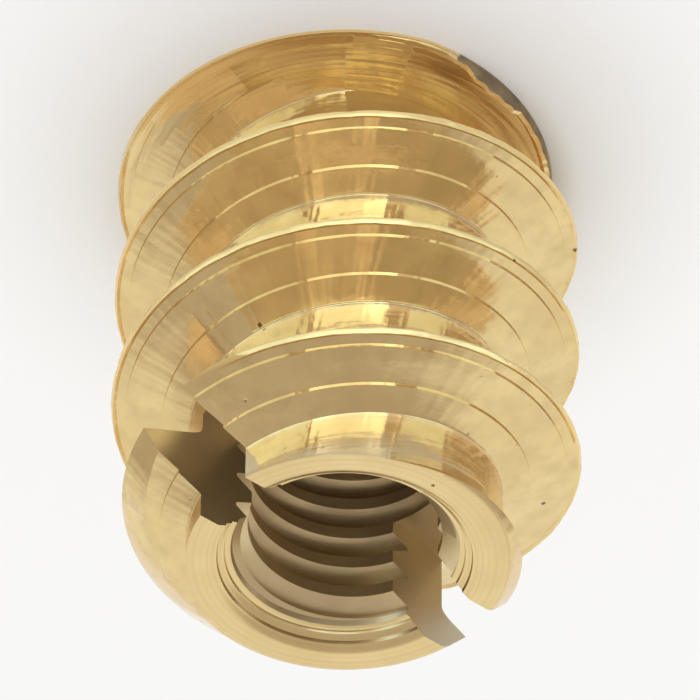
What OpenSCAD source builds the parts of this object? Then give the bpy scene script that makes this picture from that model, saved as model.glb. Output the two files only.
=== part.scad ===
// Screw-in threaded insert for wood, turned from one piece of brass bar.
// It stands on its plain end. The slotted end, where the driver goes in, points up.

/* [Overall] */
// Outer diameter over the crests of the coarse thread
outer_d = 12; // [11.5:0.1:14.5]
// Length from the plain end to the slotted end
length = 13; // [11.5:0.1:18]

/* [Coarse outer thread] */
// Distance from one crest to the next
pitch = 3.8; // [3.3:0.1:4.6]
// Diameter at the bottom of the groove
root_d = 8; // [7.5:0.1:8.6]
// Length along the axis of the flank that faces the slotted end
near_flank = 1.1; // [0.8:0.05:1.4]
// Length along the axis of the flank that faces the plain end
far_flank = 1.2; // [0.8:0.05:1.4]
// Width of the flat left on the crest
crest_flat = 0.1; // [0.05:0.01:0.2]
// Share of each flank's length that curves into the groove
root_curve = 0.3; // [0.2:0.05:0.8]

/* [Slotted end] */
// Diameter of the end face, where the lead-in cone begins
end_d = 8.3; // [8.1:0.05:8.7]
// Length of the lead-in cone, from the end face to the full diameter over the crests
cone_h = 2.1; // [1.6:0.1:3.2]
// Bevel round the outer corner of the end face
end_bevel = 0.1; // [0.05:0.05:0.2]
// Width of the end face, from the countersink's mouth to the cone, bevel included
end_face_w = 0.75; // [0.5:0.05:1]
// Width of the screwdriver slot
slot_w = 1.8; // [1.4:0.05:2.2]
// Depth of the slot at its deepest point
slot_depth = 3.8; // [2.8:0.1:4.5]
// Diameter of the slitting saw that cuts the slot
saw_d = 26; // [20:1:60]
// How far the middle of the saw's cut lies off the axis
saw_shift = 0.9; // [0:0.1:1.2]

/* [Bore] */
// Bore through the tips of the fine inner thread
bore_d = 4.92; // [4.1:0.01:5.2]
// Depth of the countersink at the plain end
back_mouth_h = 0.6; // [0.2:0.1:0.9]

/* [Plain end] */
// Thickness at the outer edge of the thin rim that closes the last groove
rim_edge = 0.1; // [0.05:0.01:0.2]
// Thickness of that rim at the bottom of the groove
rim_foot = 0.2; // [0.2:0.05:0.6]
// How far the rim's edge falls short of the crests where the groove runs out
rim_bite = 0.7; // [0.2:0.1:0.9]
// Direction of that side, as an angle from the slot
rim_bite_turn = 15; // [0:5:90]

/* [Hidden] */
$fn = 96;
eps = 0.01;
outer_r = outer_d / 2;
root_r = root_d / 2;
end_r = end_d / 2;
bore_r = bore_d / 2;
// Tools that cut right through a surface run past it by this much.
past = 1;
steps_per_turn = 60;
flank_steps = 4;

// Height of a flank above the groove, as a share of the thread's depth, at t from foot to crest.
function flank_rise(t) = let (slope = 1 / (1 - root_curve / 2))
    t < root_curve ? slope * t * t / (2 * root_curve) : slope * (t - root_curve / 2);
function flank_share(i) = i <= flank_steps - 1 ? root_curve * i / (flank_steps - 1) : 1;
function flank_r(i) = root_r + (outer_r - root_r) * flank_rise(flank_share(i));

// One pitch of the thread's outline as [height, radius], from the middle of one groove to the next.
groove_flat = pitch - near_flank - far_flank - crest_flat;
crest_at = groove_flat / 2 + far_flank;
thread_outline = concat(
    [[0, root_r]],
    [for (i = [0 : flank_steps]) [groove_flat / 2 + far_flank * flank_share(i), flank_r(i)]],
    [for (i = [flank_steps : -1 : 0])
        [crest_at + crest_flat + near_flank * (1 - flank_share(i)), flank_r(i)]]
);
rows = len(thread_outline);

// The crest would meet the end face in the slot's direction. The rod starts a full turn below
// the plain end and stops a full turn above the end face.
rod_z0 = length - crest_at - pitch * ceil((length - crest_at + eps) / pitch + 1);
rod_steps = ceil((length + pitch - rod_z0) / pitch * steps_per_turn);

function rod_point(step, row) = let (a = 360 * step / steps_per_turn, p = thread_outline[row])
    [p[1] * cos(a), p[1] * sin(a), rod_z0 + pitch * step / steps_per_turn + p[0]];
// A row past the outline's end is the first row of the next turn, or the rod's own last edge.
function rod_index(step, row) =
    row < rows ? step * rows + row
    : step + steps_per_turn <= rod_steps ? (step + steps_per_turn) * rows
    : (rod_steps + 1) * rows + step + steps_per_turn - rod_steps - 1;

// Endless threaded rod with the insert's coarse thread, longer than the insert at both ends.
module threaded_rod() {
    side = [for (step = [0 : rod_steps]) for (row = [0 : rows - 1]) rod_point(step, row)];
    last_edge = [for (step = [rod_steps + 1 : rod_steps + steps_per_turn]) rod_point(step, 0)];
    caps = [
        [0, 0, rod_z0 + crest_at],
        [0, 0, rod_z0 + pitch * rod_steps / steps_per_turn + crest_at]
    ];
    first_cap = len(side) + len(last_edge);
    last_cap = first_cap + 1;
    side_faces = [for (step = [0 : rod_steps - 1]) for (row = [0 : rows - 1])
        for (half = [0, 1]) half == 0
            ? [rod_index(step, row), rod_index(step + 1, row + 1), rod_index(step + 1, row)]
            : [rod_index(step, row), rod_index(step, row + 1), rod_index(step + 1, row + 1)]];
    first_faces = concat(
        [for (step = [0 : steps_per_turn - 1])
            [first_cap, rod_index(step, 0), rod_index(step + 1, 0)]],
        [for (row = [0 : rows - 1]) [first_cap, rod_index(0, row + 1), rod_index(0, row)]]
    );
    top = rod_steps - steps_per_turn;
    last_faces = concat(
        [for (step = [top : rod_steps - 1])
            [last_cap, rod_index(step + 1, rows), rod_index(step, rows)]],
        [for (row = [0 : rows - 1])
            [last_cap, rod_index(rod_steps, row), rod_index(rod_steps, row + 1)]]
    );
    polyhedron(concat(side, last_edge, caps), concat(side_faces, first_faces, last_faces), 10);
}

// Turned blank: bar, lead-in cone and bevelled end face. The bar is left oversize, and the
// groove cuts below the cone, so its floor shows as a neck on one side of the end face.
module turned_blank() {
    bar_r = outer_r + past;
    cone_slope = cone_h / (outer_r - end_r);
    rotate_extrude()
        polygon([
            [0, 0],
            [bar_r, 0],
            [bar_r, length - cone_slope * (bar_r - end_r)],
            [end_r, length - end_bevel],
            [end_r - end_bevel, length],
            [0, length]
        ]);
}

// Thin rim at the plain end that closes the last groove, cut back where the groove runs out.
module end_rim() {
    core_r = root_r - past;
    slope = (rim_foot - rim_edge) / (outer_r - root_r);
    intersection() {
        rotate_extrude()
            polygon([
                [0, 0],
                [outer_r - eps, 0],
                [outer_r - eps, rim_edge],
                [core_r, rim_edge + slope * (outer_r - core_r)],
                [0, rim_edge + slope * (outer_r - core_r)]
            ]);
        rotate(rim_bite_turn)
            translate([-rim_bite, 0, -past])
                cylinder(r = outer_r, h = 3 * past);
    }
}

// Bore through the fine thread's tips, with a countersink at each end.
module bore() {
    mouth_h = end_r - end_face_w - bore_r;
    translate([0, 0, -past])
        cylinder(r = bore_r, h = length + 2 * past);
    translate([0, 0, length - mouth_h])
        cylinder(r1 = bore_r, r2 = bore_r + mouth_h + past, h = mouth_h + past);
    translate([0, 0, -past])
        cylinder(r1 = bore_r + back_mouth_h + past, r2 = bore_r, h = back_mouth_h + past);
}

// Cut of the slitting saw across the end face, deepest a little off the axis.
module slot() {
    saw_r = saw_d / 2;
    translate([-saw_shift, slot_w / 2, length - slot_depth + saw_r])
        rotate([90, 0, 0])
            cylinder(r = saw_r, h = slot_w);
}

module insert() {
    color("goldenrod")
        difference() {
            union() {
                intersection() {
                    threaded_rod();
                    turned_blank();
                }
                end_rim();
            }
            bore();
            slot();
        }
}

insert();
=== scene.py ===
import math

import bmesh
import bpy
from mathutils import Matrix, Vector, noise


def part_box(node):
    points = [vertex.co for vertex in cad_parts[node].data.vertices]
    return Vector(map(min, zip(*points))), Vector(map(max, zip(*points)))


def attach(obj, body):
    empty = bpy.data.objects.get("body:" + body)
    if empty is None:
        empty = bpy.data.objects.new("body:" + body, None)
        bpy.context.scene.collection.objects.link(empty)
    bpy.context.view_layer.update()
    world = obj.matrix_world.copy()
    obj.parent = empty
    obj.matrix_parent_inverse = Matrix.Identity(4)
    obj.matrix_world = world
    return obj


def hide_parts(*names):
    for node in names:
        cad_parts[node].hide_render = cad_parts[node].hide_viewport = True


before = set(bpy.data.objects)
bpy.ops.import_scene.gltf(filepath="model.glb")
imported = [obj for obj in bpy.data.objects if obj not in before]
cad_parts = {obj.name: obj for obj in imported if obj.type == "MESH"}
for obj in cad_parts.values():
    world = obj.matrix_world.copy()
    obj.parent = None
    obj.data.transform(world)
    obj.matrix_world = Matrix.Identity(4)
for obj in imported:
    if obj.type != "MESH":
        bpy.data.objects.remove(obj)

mm = 0.001
scene = bpy.context.scene
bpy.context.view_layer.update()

# ---------------------------------------------------------------------------------------------
# Camera. It looks down on the slotted end from one side of the slot, through a long lens, and is
# rolled half a turn, so the slotted end is at the bottom of the view.

aim = Vector((-0.19, 0.39, 6.05)) * mm
view_distance = 214.7 * mm
view_turn = math.radians(128.6)
view_height = math.radians(43.38)
view_roll = math.radians(179.57)

towards_camera = Vector((
    math.cos(view_height) * math.cos(view_turn),
    math.cos(view_height) * math.sin(view_turn),
    math.sin(view_height),
))
camera = bpy.data.objects.new("camera", bpy.data.cameras.new("camera"))
camera.data.sensor_width = 36
camera.data.lens = 430.4
camera.data.clip_start = 10 * mm
level_view = towards_camera.to_track_quat("Z", "Y").to_matrix().to_4x4()
camera.matrix_world = (
    Matrix.Translation(aim + view_distance * towards_camera)
    @ level_view
    @ Matrix.Rotation(-view_roll, 4, "Z")
)
scene.collection.objects.link(camera)
scene.camera = camera

# ---------------------------------------------------------------------------------------------
# Bar and coarse thread. The insert is one piece of brass bar. A single-point tool cuts the deep
# right-hand wood thread in several passes, which leave two steps on the flank that faces the
# slotted end and a thin burr along the crest.

node_low, node_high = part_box("insert")
length = node_high.z - node_low.z
crest_r = 6 * mm
root_r = 4 * mm
coarse_pitch = 3.8 * mm
near_flank = 1.05 * mm
far_flank = 1.2 * mm
crest_flat = 0.15 * mm
crest_round = 0.045 * mm
crest_ledge = 0.14 * mm
pass_radii = (4.7 * mm, 5.63 * mm)
pass_step = 0.05 * mm
pass_reach = 0.6 * mm
burr_h = 0.03 * mm
thread_steps = 180


def solid_from(name, points, faces):
    """Object with a closed mesh, its faces turned outwards."""
    mesh = bpy.data.meshes.new(name)
    mesh.from_pydata(points, [], faces)
    work = bmesh.new()
    work.from_mesh(mesh)
    bmesh.ops.recalc_face_normals(work, faces=work.faces)
    work.to_mesh(mesh)
    work.free()
    solid = bpy.data.objects.new(name, mesh)
    scene.collection.objects.link(solid)
    return solid


def screw_solid(name, outline, pitch, start_z, turns, steps, wobble=None):
    """Right-hand threaded rod. outline is one pitch as (height, radius) points, foot to foot.
    wobble may move each point of it."""
    rows = len(outline)
    last = int(turns * steps)
    points, index = [], {}
    for step in range(last + steps + 1):
        turn = 2 * math.pi * step / steps
        for row, (height, radius) in enumerate(outline):
            if step > last and row > 0:
                continue
            z = start_z + pitch * step / steps + height
            if wobble:
                radius, z = wobble(row, radius, z, turn)
            index[step, row] = len(points)
            points.append((radius * math.cos(turn), radius * math.sin(turn), z))

    def corner(step, row):
        return index[step, row] if row < rows else index[step + steps, 0]

    faces = []
    for step in range(last):
        for row in range(rows):
            faces.append((corner(step, row), corner(step + 1, row),
                          corner(step + 1, row + 1), corner(step, row + 1)))
    middle = pitch / 2
    first_cap = len(points)
    points.append((0, 0, start_z + middle))
    points.append((0, 0, start_z + pitch * last / steps + middle))
    for step in range(steps):
        faces.append((first_cap, corner(step + 1, 0), corner(step, 0)))
        top = last - steps + step
        faces.append((first_cap + 1, corner(top, rows), corner(top + 1, rows)))
    for row in range(rows):
        faces.append((first_cap, corner(0, row), corner(0, row + 1)))
        faces.append((first_cap + 1, corner(last, row + 1), corner(last, row)))
    return solid_from(name, points, faces)


def flank(foot_h, foot_r, tip_h, tip_r, hollow, steps_at=()):
    """Flank from foot to tip as (height, radius) points: straight above a foot that is hollowed
    over the given share, with the bright step that each tool pass leaves at the radii steps_at."""
    bend = 0.15
    hollow_shares = [bend + hollow * (i / 4 - 0.5) for i in range(5)]
    shares = [0] + hollow_shares + [0.4 + 0.1 * i for i in range(7)]
    line = []
    for share in shares:
        past = share - bend + hollow / 2
        rise = 0 if past <= 0 else past ** 2 / (2 * hollow) if past < hollow else share - bend
        radius = foot_r + (tip_r - foot_r) * rise / (1 - bend)
        line.append((foot_h + (tip_h - foot_h) * share, radius))
    away = math.copysign(pass_step, foot_h - tip_h)
    for pass_r in steps_at:
        stepped = []
        for (h0, r0), (h1, r1) in zip(line, line[1:] + [(tip_h, tip_r)]):
            push = away * max(0, 1 - abs(r0 - pass_r) / pass_reach)
            stepped.append((h0 + push if r0 < pass_r else h0 - push, r0))
            if r0 < pass_r < r1:
                height = h0 + (h1 - h0) * (pass_r - r0) / (r1 - r0)
                stepped += [(height + away, pass_r), (height - away, pass_r)]
        line = stepped
    return line


groove_flat = coarse_pitch - near_flank - far_flank - crest_flat
crest_h = groove_flat / 2 + far_flank
crest_end = crest_h + crest_flat
far_side = flank(groove_flat / 2, root_r, crest_h, crest_r, 0.3)
near_side = flank(crest_end + near_flank, root_r, crest_end, crest_r - crest_ledge, 0.06, pass_radii)
coarse_outline = (
    [(0, root_r), (groove_flat / 4, root_r)]
    + far_side
    + [(crest_h + crest_flat * 0.35, crest_r), (crest_end, crest_r - crest_round)]
    + near_side[::-1]
    + [(coarse_pitch - groove_flat / 4, root_r)]
)
crest_rows = range(len(far_side) + 1, len(far_side) + 4)


def burr(row, radius, z, turn):
    """Torn edge: the crest wanders a little along the turn."""
    if row in crest_rows:
        place = Vector((7 * math.cos(turn), 7 * math.sin(turn), z / mm))
        radius -= burr_h * abs(noise.noise(place * 2.5))
        z += burr_h * noise.noise(place * 1.7 + Vector((5, 0, 0)))
    return radius, z


# The crest meets the end face in the slot's direction. The rod runs past both ends of the bar.
turns_below = math.ceil((length - crest_h) / coarse_pitch + 1.01)
bar_start = length - crest_h - coarse_pitch * turns_below
bar_turns = (length + coarse_pitch - bar_start) / coarse_pitch
insert = screw_solid(
    "insert_brass", coarse_outline, coarse_pitch, bar_start, bar_turns, thread_steps, burr
)

# Turned brass keeps the marks of the tool along the thread, chatter across it, and a few pits.
# The crest is rubbed bright, and its rubbed colour also paints the highlight along the crest.
clean_brass = (0.88, 0.69, 0.41)
worn_brass = (0.80, 0.60, 0.34)
handled_brass = (0.74, 0.56, 0.32)
rubbed_highlight_brass = (0.92, 0.69, 0.33)
pit_brown = (0.20, 0.13, 0.07)


class Finish:
    """Material of one brass surface, built from the insert's own coordinates."""

    def __init__(self, name):
        self.material = bpy.data.materials.new(name)
        self.material.use_nodes = True
        self.tree = self.material.node_tree
        self.shader = self.tree.nodes["Principled BSDF"]
        self.shader.inputs["Metallic"].default_value = 0.96
        place = self.tree.nodes.new("ShaderNodeTexCoord").outputs["Object"]
        split = self.add("ShaderNodeSeparateXYZ", {"Vector": place})
        self.place = place
        self.x, self.y, self.z = split.outputs
        self.turn = self.math("DIVIDE", self.math("ARCTAN2", self.y, self.x), 2 * math.pi)
        self.radius = self.distance(self.x, self.y)

    def add(self, kind, inputs=(), **settings):
        """New node, with a link for each input that is a socket and a plain value for the rest."""
        node = self.tree.nodes.new(kind)
        for name, value in settings.items():
            setattr(node, name, value)
        for name, value in dict(inputs).items():
            if isinstance(value, bpy.types.NodeSocket):
                self.tree.links.new(value, node.inputs[name])
            else:
                node.inputs[name].default_value = value
        return node

    def math(self, operation, first, second=0.0):
        return self.add("ShaderNodeMath", {0: first, 1: second}, operation=operation).outputs[0]

    def distance(self, first, second):
        squares = [self.math("MULTIPLY", value, value) for value in (first, second)]
        return self.math("SQRT", self.math("ADD", *squares))

    def vector(self, x, y, z):
        return self.add("ShaderNodeCombineXYZ", {"X": x, "Y": y, "Z": z}).outputs[0]

    def noise(self, vector, scale, detail=2.0):
        inputs = {"Vector": vector, "Scale": scale, "Detail": detail}
        return self.add("ShaderNodeTexNoise", inputs).outputs["Fac"]

    def spread(self, value, low, high, to_low, to_high):
        """value, moved from the span low to high to the span to_low to to_high."""
        inputs = {
            "Value": value,
            "From Min": low,
            "From Max": high,
            "To Min": to_low,
            "To Max": to_high,
        }
        return self.add("ShaderNodeMapRange", inputs).outputs["Result"]

    def blend(self, share, first, second):
        """Colour between first and second, each a socket or (red, green, blue)."""
        mix = self.add("ShaderNodeMix", {0: share}, data_type="RGBA")
        for socket, value in ((mix.inputs[6], first), (mix.inputs[7], second)):
            if isinstance(value, bpy.types.NodeSocket):
                self.tree.links.new(value, socket)
            else:
                socket.default_value = (*value, 1)
        return mix.outputs[2]

    def bump(self, height, depth, under=None):
        """Normal of a relief of the given depth, on top of the relief under."""
        inputs = {"Height": height, "Strength": 1.0, "Distance": depth}
        if under:
            inputs["Normal"] = under
        return self.add("ShaderNodeBump", inputs).outputs["Normal"]

    def pits(self, vector, scale, size):
        """1 in a few small holes, 0 elsewhere."""
        cells = self.add("ShaderNodeTexVoronoi", {"Vector": vector, "Scale": scale})
        near = self.spread(cells.outputs["Distance"], size * 0.5, size, 1, 0)
        chance = self.add("ShaderNodeSeparateColor", {"Color": cells.outputs["Color"]}).outputs[0]
        return self.math("MULTIPLY", near, self.math("GREATER_THAN", chance, 0.85))

    def connect(self, colour, roughness, normal):
        self.tree.links.new(colour, self.shader.inputs["Base Color"])
        self.tree.links.new(roughness, self.shader.inputs["Roughness"])
        self.tree.links.new(normal, self.shader.inputs["Normal"])


# lead counts turns of the thread from the end face, and along is the distance from mid-groove.
turned = Finish("turned_brass")
turns_down = turned.math("DIVIDE", turned.math("SUBTRACT", turned.z, length), coarse_pitch)
lead = turned.math("SUBTRACT", turns_down, turned.turn)
from_groove = turned.math("ABSOLUTE", turned.math("SUBTRACT", turned.math("FRACT", lead), 0.5))
along = turned.math("MULTIPLY", from_groove, coarse_pitch)
cos_turn = turned.math("DIVIDE", turned.x, turned.radius)
sin_turn = turned.math("DIVIDE", turned.y, turned.radius)
drift = turned.math("MULTIPLY", turned.z, 0.15)


def round_place(spacing):
    """The two coordinates of a point on a circle of that radius, drifting from turn to turn."""
    return [
        turned.math("ADD", turned.math("MULTIPLY", part, spacing), drift)
        for part in (cos_turn, sin_turn)
    ]


cut_place = turned.vector(along, *round_place(0.4 * mm))
fine_cuts = turned.noise(cut_place, 9000, 2)
broad_cuts = turned.noise(cut_place, 2600, 1)
chatter_place = turned.vector(*round_place(5 * mm), turned.math("MULTIPLY", along, 0.12))
chatter = turned.noise(chatter_place, 2600, 1)
holes = turned.pits(turned.place, 1300, 0.11)
cloud = turned.noise(turned.place, 420, 3)
dents = turned.noise(turned.place, 1500, 3)
normal = turned.bump(dents, 0.011 * mm)
normal = turned.bump(chatter, 0.023 * mm, normal)
normal = turned.bump(broad_cuts, 0.018 * mm, normal)
normal = turned.bump(fine_cuts, 0.004 * mm, normal)
normal = turned.bump(turned.math("SUBTRACT", 1.0, holes), 0.02 * mm, normal)
# Partly wear, partly painted highlight: the band along the crest takes the rubbed colour and more
# roughness.
at_crest = turned.spread(turned.radius, crest_r - 0.12 * mm, crest_r - 0.05 * mm, 0, 1)
crest_wear_and_highlight = turned.math("MULTIPLY", at_crest, turned.spread(fine_cuts, 0.2, 0.5, 0.6, 1))
colour = turned.blend(turned.spread(cloud, 0.35, 0.7, 0, 1), clean_brass, worn_brass)
colour = turned.blend(turned.spread(dents, 0.42, 0.75, 0, 1), colour, handled_brass)
colour = turned.blend(crest_wear_and_highlight, colour, rubbed_highlight_brass)
colour = turned.blend(holes, colour, pit_brown)
gloss = turned.spread(cloud, 0.3, 0.7, 0.09, 0.17)
roughness = turned.math("ADD", gloss, turned.math("MULTIPLY", crest_wear_and_highlight, 0.22))
turned.connect(colour, roughness, normal)

# ---------------------------------------------------------------------------------------------
# Slotted end. The bar is faced off and its corner rounded, and a lead-in cone is turned from the
# end face out to the crests. The coarse groove cuts below the cone, so it shows as a neck.

end_r = 4.15 * mm
cone_h = 2.1 * mm
end_bevel = 0.1 * mm

# Tools and blanks run past the surfaces that they cut by this much.
overcut = 1 * mm


def turned_solid(name, outline, steps=256):
    """Solid of revolution round Z. outline is a list of (radius, height), from axis to axis."""
    points, rings, faces = [], [], []
    for radius, height in outline:
        if radius < 1e-9:
            rings.append([len(points)] * steps)
            points.append((0, 0, height))
        else:
            rings.append(list(range(len(points), len(points) + steps)))
            for step in range(steps):
                turn = 2 * math.pi * step / steps
                points.append((radius * math.cos(turn), radius * math.sin(turn), height))
    for lower, upper in zip(rings, rings[1:]):
        for step in range(steps):
            after = (step + 1) % steps
            corners = (lower[step], lower[after], upper[after], upper[step])
            faces.append(tuple(dict.fromkeys(corners)))
    return solid_from(name, points, faces)


def combine(body, tool, operation):
    """Joins tool to body, or cuts body with it, and throws the tool away."""
    change = body.modifiers.new(operation.lower(), "BOOLEAN")
    change.operation = operation
    change.solver = "MANIFOLD"
    change.object = tool
    bpy.context.view_layer.objects.active = body
    bpy.ops.object.modifier_apply(modifier=change.name)
    bpy.data.objects.remove(tool)


bar_r = crest_r + overcut
cone_slope = cone_h / (crest_r - end_r)
blank = turned_solid("blank", [
    (0, 0),
    (bar_r, 0),
    (bar_r, length - cone_slope * (bar_r - end_r)),
    (end_r + 0.14 * mm, length - 0.2 * mm),
    (end_r + 0.05 * mm, length - 0.1 * mm),
    (end_r - 0.04 * mm, length - 0.035 * mm),
    (end_r - 0.15 * mm, length),
    (0, length),
])
combine(insert, blank, "INTERSECT")

# Faced brass keeps fine rings round the axis and a few pits.
ring_brass = (0.70, 0.54, 0.32)

faced = Finish("faced_brass")
ring_place = faced.vector(faced.radius, faced.z, 0.0)
rings = faced.noise(ring_place, 8000, 2)
broad_rings = faced.noise(ring_place, 2400, 1)
cloud = faced.noise(faced.place, 500, 3)
normal = faced.bump(broad_rings, 0.05 * mm)
normal = faced.bump(rings, 0.012 * mm, normal)
colour = faced.blend(faced.spread(cloud, 0.35, 0.7, 0, 1), clean_brass, worn_brass)
colour = faced.blend(faced.spread(rings, 0.45, 0.7, 0, 0.8), colour, ring_brass)
colour = faced.blend(faced.pits(faced.place, 1500, 0.1), colour, pit_brown)
faced.connect(colour, faced.spread(rings, 0.3, 0.7, 0.16, 0.30), normal)

# ---------------------------------------------------------------------------------------------
# Plain end. A thin rim closes the last groove and is drawn in on one side, where the groove runs
# out. The bar was parted off here, and the tool tore up a lip on the rim's drawn-in side.

rim_edge = 0.1 * mm
rim_foot = 0.2 * mm
rim_bite = 0.7 * mm
rim_bite_turn = math.radians(15)
rim_slope = (rim_foot - rim_edge) / (crest_r - root_r)
core_r = root_r - overcut
rim_core_h = rim_edge + rim_slope * (crest_r - core_r)
rim = turned_solid("rim", [
    (0, 0),
    (crest_r, 0),
    (crest_r, rim_edge),
    (core_r, rim_core_h),
    (0, rim_core_h),
])
rim_turning = turned_solid("rim_turning", [
    (0, -overcut),
    (crest_r, -overcut),
    (crest_r, overcut),
    (0, overcut),
])
drawn_in = rim_bite * Vector((math.cos(rim_bite_turn), math.sin(rim_bite_turn), 0))
rim_turning.data.transform(Matrix.Translation(-drawn_in))
combine(rim, rim_turning, "INTERSECT")
combine(insert, rim, "UNION")

# Lip. lip_tops gives its height in mm at bearings in degrees.
lip_from = math.radians(127)
lip_torn_from = math.radians(100)
lip_to = math.radians(30)
lip_w = 0.3 * mm
lip_tops = [(127, 0.1), (105, 0.16), (99, 0.22), (92, 0.5), (82, 0.52), (72, 0.3), (52, 0.34), (30, 0.1)]
lip_steps = 90


def lip_height(bearing):
    """Height in mm, eased from each of the lip's tops to the next."""
    for (turn_0, top_0), (turn_1, top_1) in zip(lip_tops, lip_tops[1:]):
        if turn_1 <= bearing + 1e-6:
            part = (turn_0 - bearing) / (turn_0 - turn_1)
            return top_0 + (top_1 - top_0) * part * part * (3 - 2 * part)


lip_points, lip_faces = [], []
for step in range(lip_steps + 1):
    share = step / lip_steps
    turn = lip_from + (lip_to - lip_from) * share
    inward = rim_bite * math.cos(turn - rim_bite_turn)
    drawn_in_r = math.sqrt(crest_r ** 2 - rim_bite ** 2 + inward ** 2) - inward
    edge_r = min(crest_r, drawn_in_r) - 0.004 * mm
    tear = noise.noise(Vector((turn * 14, 0, 0))) + 0.5 * noise.noise(Vector((turn * 40, 3, 0)))
    top = lip_height(math.degrees(turn)) * (1 + 0.2 * tear) * mm
    section = [
        (edge_r, 0),
        (edge_r - 0.01 * mm, top * 0.5),
        (edge_r - (0.04 + 0.03 * tear) * mm, top),
        (edge_r - 0.15 * mm, top + 0.02 * mm),
        (edge_r - lip_w, 0.09 * mm),
        (edge_r - lip_w, 0),
    ]
    lip_points += [(r * math.cos(turn), r * math.sin(turn), z) for r, z in section]
rows = len(section)
for here in range(0, lip_steps * rows, rows):
    there = here + rows
    for row in range(rows):
        after = (row + 1) % rows
        lip_faces.append((here + row, here + after, there + after, there + row))
lip_faces += [tuple(range(rows)), tuple(range(lip_steps * rows, len(lip_points)))]
combine(insert, solid_from("lip", lip_points, lip_faces), "UNION")

# Torn brass is coarse, dull and brown.
torn_brown = (0.22, 0.17, 0.11)
torn_brass = (0.38, 0.29, 0.18)

torn = Finish("torn_brass")
grain = torn.noise(torn.place, 5000, 4)
patches = torn.noise(torn.place, 1200, 2)
normal = torn.bump(grain, 0.03 * mm)
colour = torn.blend(torn.spread(patches, 0.35, 0.65, 0, 1), torn_brown, torn_brass)
torn.connect(colour, torn.spread(grain, 0.3, 0.7, 0.4, 0.6), normal)

# ---------------------------------------------------------------------------------------------
# Inner thread. A tap cuts the fine right-hand thread right through the bore, and a countersink
# opens both ends. The countersink at the slotted end keeps three steps from the tool.

tip_r = 2.46 * mm
fine_root_r = 2.92 * mm
fine_pitch = 1 * mm
mouth_r = 3.4 * mm
back_mouth_r = 3.06 * mm
flank_h = (fine_root_r - tip_r) * math.tan(math.radians(30))
groove_w = 0.1 * mm
ridge_w = fine_pitch - 2 * flank_h - groove_w
fine_outline = [
    (0, tip_r),
    (ridge_w / 2, tip_r),
    (ridge_w / 2 + flank_h * 0.5, (tip_r + fine_root_r) / 2),
    (ridge_w / 2 + flank_h, fine_root_r),
    (ridge_w / 2 + flank_h + groove_w, fine_root_r),
    (ridge_w / 2 + flank_h * 1.5 + groove_w, (tip_r + fine_root_r) / 2),
    (fine_pitch - ridge_w / 2, tip_r),
]

# One ridge of the thread lies this far below the end face at this bearing.
ridge_depth = 0.24 * mm
ridge_turn = math.radians(306)
tap_turns = 18
tap_steps = 96
tap_start = length - ridge_depth - fine_pitch * (ridge_turn / (2 * math.pi)) - fine_pitch * 16
tap = screw_solid("tap", fine_outline, fine_pitch, tap_start, tap_turns, tap_steps)
combine(insert, tap, "DIFFERENCE")

# Countersinks. sink_steps gives each step's radius and height.
sink_steps = [(2.83 * mm, 0.15 * mm), (3.02 * mm, 0.08 * mm), (3.2 * mm, 0.09 * mm)]
sink_nose = 0.3 * mm
sink_past = 0.4 * mm
sink_floor = length - (mouth_r - tip_r) - sink_nose
sink_outline = [(0, sink_floor), (tip_r - sink_nose, sink_floor)]
for ring_r, step_h in sink_steps:
    ring_z = length - mouth_r + ring_r
    sink_outline += [(ring_r, ring_z), (ring_r + 0.3 * step_h, ring_z + step_h)]
sink_outline += [
    (mouth_r - 0.06 * mm, length - 0.06 * mm),
    (mouth_r, length - 0.02 * mm),
    (mouth_r + 0.05 * mm, length),
    (mouth_r + 0.05 * mm, length + sink_past),
    (0, length + sink_past),
]
countersink = turned_solid("countersink", sink_outline)
combine(insert, countersink, "DIFFERENCE")
back_countersink = turned_solid("back_countersink", [
    (0, -sink_past),
    (back_mouth_r + sink_past, -sink_past),
    (tip_r - sink_past, back_mouth_r - tip_r + sink_past),
    (0, back_mouth_r - tip_r + sink_past),
])
combine(insert, back_countersink, "DIFFERENCE")

# Tapped brass is scored round the bore and duller than the outside.
scored_brass = (0.84, 0.68, 0.46)
dull_brass = (0.70, 0.56, 0.38)

tapped = Finish("tapped_brass")
scores = tapped.noise(tapped.vector(tapped.radius, tapped.z, 0.0), 7000, 2)
cloud = tapped.noise(tapped.place, 600, 3)
normal = tapped.bump(scores, 0.004 * mm)
colour = tapped.blend(tapped.spread(cloud, 0.3, 0.7, 0, 1), scored_brass, dull_brass)
tapped.connect(colour, tapped.spread(cloud, 0.3, 0.7, 0.26, 0.40), normal)

# ---------------------------------------------------------------------------------------------
# Driver slot. A slitting saw plunges into the end face, so the slot's floor is an arc, deepest
# a little off the axis.

slot_w = 1.8 * mm
slot_depth = 3.8 * mm
saw_r = 13 * mm
saw_shift = 0.9 * mm
saw_z = length - slot_depth + saw_r
saw_steps = 1024
saw = turned_solid("saw", [
    (0, -slot_w / 2),
    (saw_r, -slot_w / 2),
    (saw_r, slot_w / 2),
    (0, slot_w / 2),
], saw_steps)
to_slot = Matrix.Translation((-saw_shift, 0, saw_z))
saw.data.transform(to_slot @ Matrix.Rotation(math.pi / 2, 4, "X"))
combine(insert, saw, "DIFFERENCE")

# Sawn brass has faint arcs round the saw's axis.
sawn_light = (0.72, 0.60, 0.41)
sawn_dark = (0.62, 0.51, 0.36)

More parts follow.
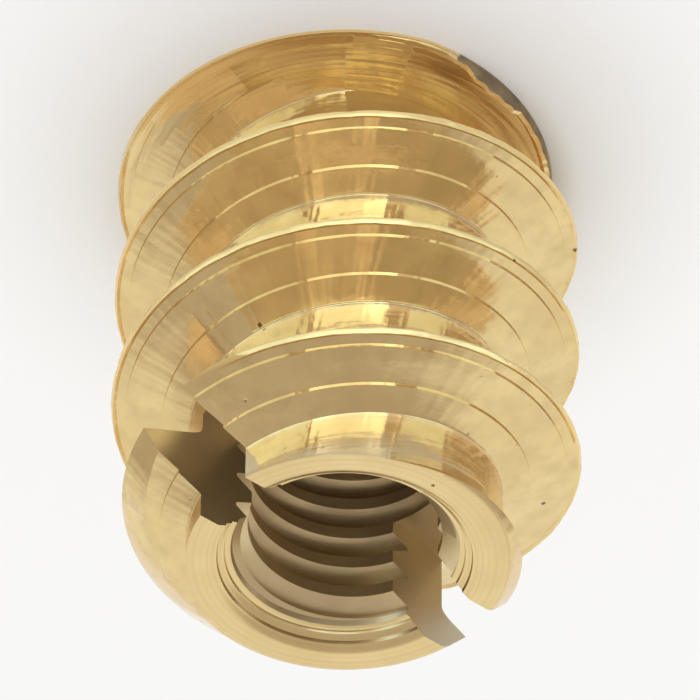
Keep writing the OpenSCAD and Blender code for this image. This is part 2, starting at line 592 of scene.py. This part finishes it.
sawn = Finish("sawn_brass")
from_saw_x = sawn.math("ADD", sawn.x, saw_shift)
from_saw_z = sawn.math("SUBTRACT", sawn.z, saw_z)
across_slot = sawn.math("MULTIPLY", sawn.y, 3.0)
along_slot = sawn.math("MULTIPLY", sawn.x, 0.2)
arc_place = sawn.vector(sawn.distance(from_saw_x, from_saw_z), across_slot, along_slot)
arcs = sawn.noise(arc_place, 12000, 2)
cloud = sawn.noise(sawn.place, 500, 3)
normal = sawn.bump(arcs, 0.00015 * mm)
colour = sawn.blend(sawn.spread(cloud, 0.3, 0.7, 0, 1), sawn_light, sawn_dark)
sawn.connect(colour, sawn.spread(cloud, 0.3, 0.7, 0.28, 0.34), normal)

# ---------------------------------------------------------------------------------------------
# The insert's surfaces. All of it is one piece of bare brass, so each face gets the finish of
# the tool that cut it. It stands alone and rides on the model's only body.

finishes = [turned, faced, tapped, sawn, torn]
insert.data.materials.clear()
for finish in finishes:
    insert.data.materials.append(finish.material)

near = 0.001 * mm


def finish_of(face):
    """Finish of one face, from where the face lies and which way it looks."""
    x, y, z = face.center
    axis_r = math.hypot(x, y)
    bearing = math.atan2(y, x)
    on_wall = abs(abs(y) - slot_w / 2) < 2 * near and abs(face.normal.y) > 0.99
    on_floor = abs(math.hypot(x + saw_shift, z - saw_z) - saw_r) < 10 * near and abs(y) < slot_w / 2
    if on_wall or on_floor:
        return sawn
    at_rim_edge = math.hypot(x + drawn_in.x, y + drawn_in.y) > crest_r - 0.05 * mm
    on_lip = lip_to < bearing < lip_torn_from and 0 < z < 0.65 * mm
    if on_lip and at_rim_edge and face.normal.z < 0.6:
        return torn
    if z < 0.3 * mm and face.normal.z > 0.9 and axis_r > root_r:
        return faced
    if axis_r < fine_root_r + near and 0.02 * mm < z < length - 0.3 * mm:
        return tapped
    in_countersink = z > length - 1 * mm and axis_r < mouth_r + near
    on_end = z > length - end_bevel - near or z < near
    on_cone = abs(axis_r - end_r - (length - z) / cone_slope) < 3 * near
    return faced if in_countersink or on_end or on_cone else turned


for face in insert.data.polygons:
    face.material_index = finishes.index(finish_of(face))
    face.use_smooth = True
insert.data.set_sharp_from_angle(angle=math.radians(28))
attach(insert, "root")
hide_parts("insert")

# ---------------------------------------------------------------------------------------------
# Floor and light. A pale matt floor under one soft box light, in a studio that is brightest
# behind the insert and warmer and dimmer overhead, with pale paper behind the floor. Cards on
# the floor round the insert, seen only in its reflections, light the grooves from below.

half = 2
floor_corners = [(-half, -half, 0), (half, -half, 0), (half, half, 0), (-half, half, 0)]
floor_mesh = bpy.data.meshes.new("floor")
floor_mesh.from_pydata(floor_corners, [], [(0, 1, 2, 3)])
floor = bpy.data.objects.new("floor", floor_mesh)
scene.collection.objects.link(floor)
floor_paint = bpy.data.materials.new("floor_paint")
floor_paint.use_nodes = True
floor_shader = floor_paint.node_tree.nodes["Principled BSDF"]
floor_shader.inputs["Base Color"].default_value = (0.91, 0.92, 0.95, 1)
floor_shader.inputs["Roughness"].default_value = 0.9
floor_shader.inputs["Specular IOR Level"].default_value = 0.1
floor.data.materials.append(floor_paint)

box_light = bpy.data.objects.new("box_light", bpy.data.lights.new("box_light", "AREA"))
box_light.data.shape = "DISK"
box_light.data.size = 1
box_light.data.energy = 5.4
box_light.data.color = (0.93, 0.98, 1.16)
box_light.location = (0, 0, 1)
box_light.visible_glossy = False
scene.collection.objects.link(box_light)


def card(name, from_turn, to_turn, profile, colour, brightness):
    """Card bent round the insert between two bearings. profile is (distance, height) in mm."""
    count = 12
    points, faces = [], []
    for i in range(count + 1):
        turn = math.radians(from_turn + (to_turn - from_turn) * i / count)
        for distance, height in profile:
            away = distance * mm
            points.append((away * math.cos(turn), away * math.sin(turn), height * mm))
    rows = len(profile)
    for i in range(count):
        for row in range(rows - 1):
            corner = i * rows + row
            faces.append((corner, corner + 1, corner + rows + 1, corner + rows))
    mesh = bpy.data.meshes.new(name)
    mesh.from_pydata(points, [], faces)
    sheet = bpy.data.objects.new(name, mesh)
    scene.collection.objects.link(sheet)
    paint = bpy.data.materials.new(name)
    paint.use_nodes = True
    card_shader = paint.node_tree.nodes["Principled BSDF"]
    card_shader.inputs["Base Color"].default_value = (0, 0, 0, 1)
    card_shader.inputs["Specular IOR Level"].default_value = 0
    card_shader.inputs["Emission Color"].default_value = (*colour, 1)
    card_shader.inputs["Emission Strength"].default_value = brightness
    mesh.materials.append(paint)
    for ray in ("camera", "diffuse", "transmission", "volume_scatter", "shadow"):
        setattr(sheet, "visible_" + ray, False)


near_floor = [(12, 0.1), (35, 0.1)]
plain_white = (0.97, 1.0, 0.98)
card("shade_left", 146, 225, near_floor, plain_white, 0.68)
card("strip_left", 138, 146, near_floor, plain_white, 1.08)
card("strip_middle", 113, 138, near_floor, plain_white, 0.74)
card("strip_right", 106, 113, near_floor, plain_white, 1.08)
card("shade_right", 30, 106, near_floor, plain_white, 0.6)

window = [(35, 0.1), (250, 0.1), (250, 70)]
cool_white = (0.92, 1.14, 1.16)
card("window_far_left", 150, 200, window, cool_white, 1.25)
card("window_left", 110, 144, window, cool_white, 1.8)
card("window_middle", 98, 110, window, cool_white, 2.3)
card("window_right", 54, 87, window, cool_white, 1.25)

# Studio. glow runs from the dim side to the bright side, and the camera itself sees paper.
studio = bpy.data.worlds.new("studio")
scene.world = studio
studio.use_nodes = True
sky = studio.node_tree
backdrop = sky.nodes["Background"]
direction = sky.nodes.new("ShaderNodeTexCoord").outputs["Generated"]
facing = sky.nodes.new("ShaderNodeVectorMath")
facing.operation = "DOT_PRODUCT"
facing.inputs[1].default_value = (0.60, -0.76, 0.25)
sky.links.new(direction, facing.inputs[0])
glow = sky.nodes.new("ShaderNodeValToRGB")
glow.color_ramp.elements[0].position = 0.42
glow.color_ramp.elements[0].color = (0.53, 0.48, 0.37, 1)
glow.color_ramp.elements[1].position = 0.62
glow.color_ramp.elements[1].color = (0.90, 0.90, 0.74, 1)
sky.links.new(facing.outputs["Value"], glow.inputs["Fac"])
paper = sky.nodes.new("ShaderNodeMix")
paper.data_type = "RGBA"
paper.inputs[7].default_value = (0.93, 0.93, 0.92, 1)
seen = sky.nodes.new("ShaderNodeLightPath").outputs["Is Camera Ray"]
sky.links.new(seen, paper.inputs[0])
sky.links.new(glow.outputs["Color"], paper.inputs[6])
sky.links.new(paper.outputs[2], backdrop.inputs["Color"])
scene.view_settings.view_transform = "Standard"
